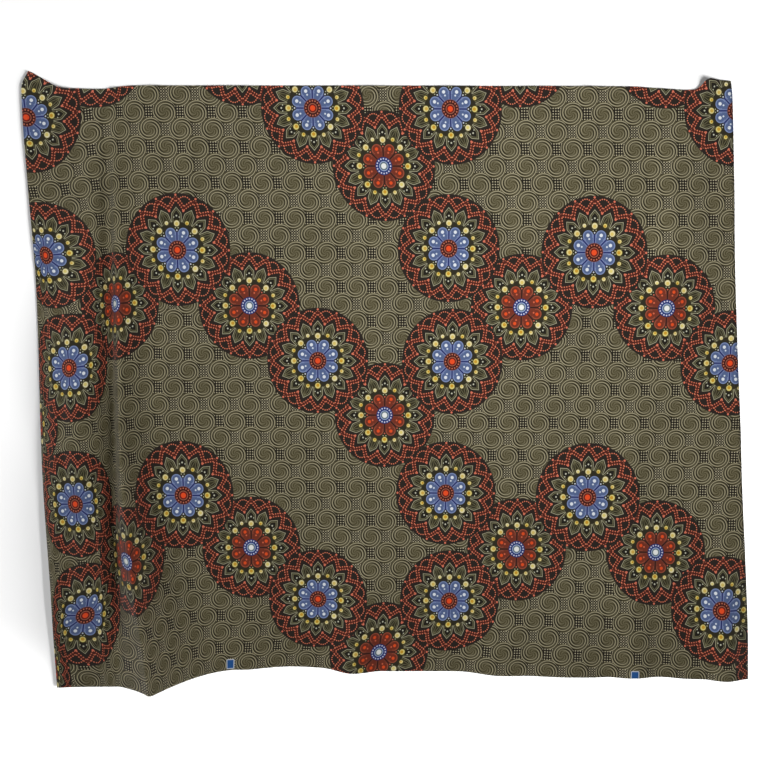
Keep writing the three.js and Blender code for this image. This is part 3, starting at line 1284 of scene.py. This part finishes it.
@dataclass
class EndSeam:
    """A row of stitches that holds one turned end."""

    form: ClothForm
    end: ClothEnd
    inside: float = 9.5  # how far the stitches lie from the end's edge
    pitch: float = 3.4
    length: float = 2.5
    radius: float = 0.28
    sides: int = 6
    bends_at: Pair = (0.25, -0.25)  # as shares of a stitch's length
    dip: float = 1.6  # how deep its ends lie, in radii
    taper: float = 0.4
    proud: float = 0.5  # how far its middle stands off the cloth, in radii
    step: float = 0.5  # how far ahead its direction is read

    def stitch(self) -> tuple[Array, list]:
        """Models one stitch: a short thread whose two ends dip into the cloth.

        Returns:
            Its points, in millimetres along y, and its faces.
        """
        bpy.ops.object.select_all(action="DESELECT")
        bpy.ops.mesh.primitive_cylinder_add(vertices=self.sides, radius=1.0, depth=1.0)
        thread = bpy.context.active_object
        bpy.ops.object.mode_set(mode="EDIT")
        for bend in self.bends_at:
            bpy.ops.mesh.select_all(action="SELECT")
            bpy.ops.mesh.bisect(plane_co=(0, 0, bend), plane_no=(0, 0, 1))
        bpy.ops.mesh.select_all(action="SELECT")
        bpy.ops.mesh.quads_convert_to_tris()
        bpy.ops.object.mode_set(mode="OBJECT")
        points = np.array([v.co for v in thread.data.vertices])
        faces = [list(p.vertices) for p in thread.data.polygons]
        bpy.data.objects.remove(thread)
        toward_end = (2 * points[:, 2]) ** 2
        dip = self.dip * self.radius * toward_end
        taper = 1 - self.taper * toward_end
        shaped = np.stack(
            [
                points[:, 0] * self.radius * taper,
                points[:, 2] * self.length,
                -points[:, 1] * self.radius * taper - dip,
            ],
            axis=1,
        )
        return shaped, faces

    def build(self, shift: Array) -> Thing:
        """Sews the row: copies of one stitch along the end, in one mesh.

        Args:
            shift: How far the cloth's own frame lies from the part's, in millimetres.

        Returns:
            The row of stitches.
        """
        points, faces = self.stitch()
        y = np.arange(self.form.hem_y + self.pitch, self.form.top_y - self.pitch, self.pitch)
        ahead = y + self.step
        above = self.radius * self.proud
        here = self.form.face(self.across(y), y, above) + shift
        onward = self.form.face(self.across(ahead), ahead, above) + shift - here
        onward /= np.linalg.norm(onward, axis=1, keepdims=True)
        aside = np.cross(onward, (0.0, 0.0, 1.0))
        aside /= np.linalg.norm(aside, axis=1, keepdims=True)
        up = np.cross(aside, onward)
        places = (
            here[:, None, :]
            + points[None, :, 0:1] * aside[:, None, :]
            + points[None, :, 1:2] * onward[:, None, :]
            + points[None, :, 2:3] * up[:, None, :]
        )
        count = len(points)
        all_faces = [[index + row * count for index in face] for row in range(len(y)) for face in faces]
        mesh = bpy.data.meshes.new(f"{self.end.value}_end_stitches")
        mesh.from_pydata((places.reshape(-1, 3) * MM).tolist(), [], all_faces)
        mesh.update()
        seam = bpy.data.objects.new(mesh.name, mesh)
        bpy.context.scene.collection.objects.link(seam)
        bpy.ops.object.select_all(action="DESELECT")
        seam.select_set(True)
        bpy.context.view_layer.objects.active = seam
        bpy.ops.object.mode_set(mode="EDIT")
        bpy.ops.mesh.select_all(action="SELECT")
        bpy.ops.mesh.normals_make_consistent(inside=False)
        bpy.ops.object.mode_set(mode="OBJECT")
        bpy.ops.object.shade_smooth()
        return seam

    def across(self, y: Array) -> Array:
        """Says where the row runs, at each place up the cloth."""
        section = self.form.section(y)
        if self.end is ClothEnd.LEFT:
            return section["left"] + self.inside
        return section["right"] - self.inside

    def dress(self, seam: Thing) -> None:
        """Gives the stitches their thread, and says what carries them."""
        seam.data.materials.append(SewingThread().material())
        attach(seam, "root")


# ---- The studio ----
@dataclass(frozen=True)
class Lamp:
    """One square soft light: its place, what it is turned to, its size and its power."""

    name: str
    place: Triple
    aim: Triple
    size: float
    watts: float


@dataclass
class Studio:
    """A pale floor, soft lights and a camera that looks down at the cloth."""

    lamps: tuple = (
        Lamp("key_light", (-3.5, 4.55, 2.9), (-0.18, 0.24, 0.0), 1.6, 214.0),
        Lamp("top_light", (0.3, 0.25, 1.3), (0.2, 0.1, 0.0), 0.5, 10.5),
    )
    floor_lamps: tuple = (
        Lamp("floor_light", (6.6, -2.4, 2.2), (-0.6, -0.3, 0.0), 3.4, 3000.0),
        Lamp("floor_fill", (-0.9, -0.3, 2.2), (-0.9, -0.3, 0.0), 1.0, 38.0),
    )
    room: float = 0.065
    distance: float = 2.096
    tilt: float = 6.1  # degrees from straight down, from the top edge's side
    roll: float = 0.35
    lens: float = 50.0
    sensor: float = 36.0
    floor_size: float = 14.0

    def lay_floor(self) -> Thing:
        """Lays the floor, just under the cloth."""
        bpy.ops.object.select_all(action="DESELECT")
        bpy.ops.mesh.primitive_plane_add(size=self.floor_size)
        floor = fresh_object("floor")
        floor.data.materials.append(PaleFloor().material())
        return floor

    def hang(self, lamp: Lamp) -> Thing:
        """Hangs one lamp, turned towards what it lights."""
        place, aim = Vector(lamp.place), Vector(lamp.aim)
        bpy.ops.object.light_add(type="AREA", location=place)
        hung = bpy.context.active_object
        hung.name = lamp.name
        hung.data.shape = "SQUARE"
        hung.data.size = lamp.size
        hung.data.energy = lamp.watts
        hung.visible_camera = False
        hung.rotation_euler = (aim - place).to_track_quat("-Z", "Y").to_euler()
        return hung

    def hang_over(self, name: str, lamps: tuple, lit: list[Thing]) -> None:
        """Hangs some lamps that light only the things that are named."""
        group = bpy.data.collections.new(name)
        for thing in lit:
            group.objects.link(thing)
        for lamp in lamps:
            self.hang(lamp).light_linking.receiver_collection = group

    def light(self, floor: Thing, cloth: list[Thing]) -> None:
        """Hangs the lamps and gives the room a pale sky.

        Args:
            floor: The floor, which has lamps of its own that keep it pale.
            cloth: The cloth and what is sewn on it.
        """
        self.hang_over("lit_by_cloth_lights", self.lamps, cloth)
        self.hang_over("lit_by_floor_lights", self.floor_lamps, [floor])
        world = bpy.data.worlds.new("pale_room")
        world.use_nodes = True
        sky = world.node_tree.nodes["Background"]
        sky.inputs["Color"].default_value = (1.0, 1.0, 1.0, 1.0)
        sky.inputs["Strength"].default_value = self.room
        bpy.context.scene.world = world

    def place_camera(self, aim: Vector) -> None:
        """Sets the camera over the cloth.

        Args:
            aim: The point that the middle of the view shows.
        """
        tilt, roll = math.radians(self.tilt), math.radians(self.roll)
        ahead = Vector((0.0, -math.sin(tilt), -math.cos(tilt)))
        right = Vector((1.0, 0.0, 0.0))
        up = right.cross(ahead)
        turned_right = math.cos(roll) * right + math.sin(roll) * up
        turned_up = math.cos(roll) * up - math.sin(roll) * right
        data = bpy.data.cameras.new("camera")
        data.lens = self.lens
        data.sensor_width = self.sensor
        camera = bpy.data.objects.new("camera", data)
        bpy.context.scene.collection.objects.link(camera)
        axes = Matrix((turned_right, turned_up, -ahead)).transposed().to_4x4()
        camera.matrix_world = Matrix.Translation(aim - ahead * self.distance) @ axes
        bpy.context.scene.camera = camera


# ---- The whole ----
def frame_shift(form: ClothForm) -> Array:
    """Finds how far the cloth's own frame lies from the part's, in millimetres."""
    panel = SarongPanel(form)
    points = form.face(*panel.grid()).reshape(-1, 3)
    low, high = points.min(axis=0), points.max(axis=0)
    box_low, box_high = (np.array(corner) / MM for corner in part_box("sarong_panel"))
    shift = (box_low + box_high - low - high) / 2
    return np.array([shift[0], shift[1], 0.0])


def main() -> None:
    """Builds the sarong and the studio round it."""
    logging.basicConfig(level=logging.INFO, format="%(name)s: %(message)s")
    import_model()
    form = ClothForm()
    shift = frame_shift(form)
    aim = Vector((shift[0] * MM, shift[1] * MM, 0.0))
    LOG.info("cloth frame shifted by %s mm", np.round(shift, 2))

    panel_maker = SarongPanel(form)
    panel = panel_maker.build(shift)
    panel_maker.dress(panel)
    LOG.info("cloth: %d faces", len(panel.data.polygons))

    seams = []
    for end in ClothEnd:
        seam_maker = EndSeam(form, end)
        seam = seam_maker.build(shift)
        seam_maker.dress(seam)
        seams.append(seam)
        LOG.info("%s end's stitches: %d faces", end.value, len(seam.data.polygons))
    panel_maker.declare(panel)

    studio = Studio()
    studio.place_camera(aim)
    studio.light(studio.lay_floor(), [panel, *seams])
    bpy.context.scene.view_settings.view_transform = "Standard"


if __name__ == "__main__":
    main()
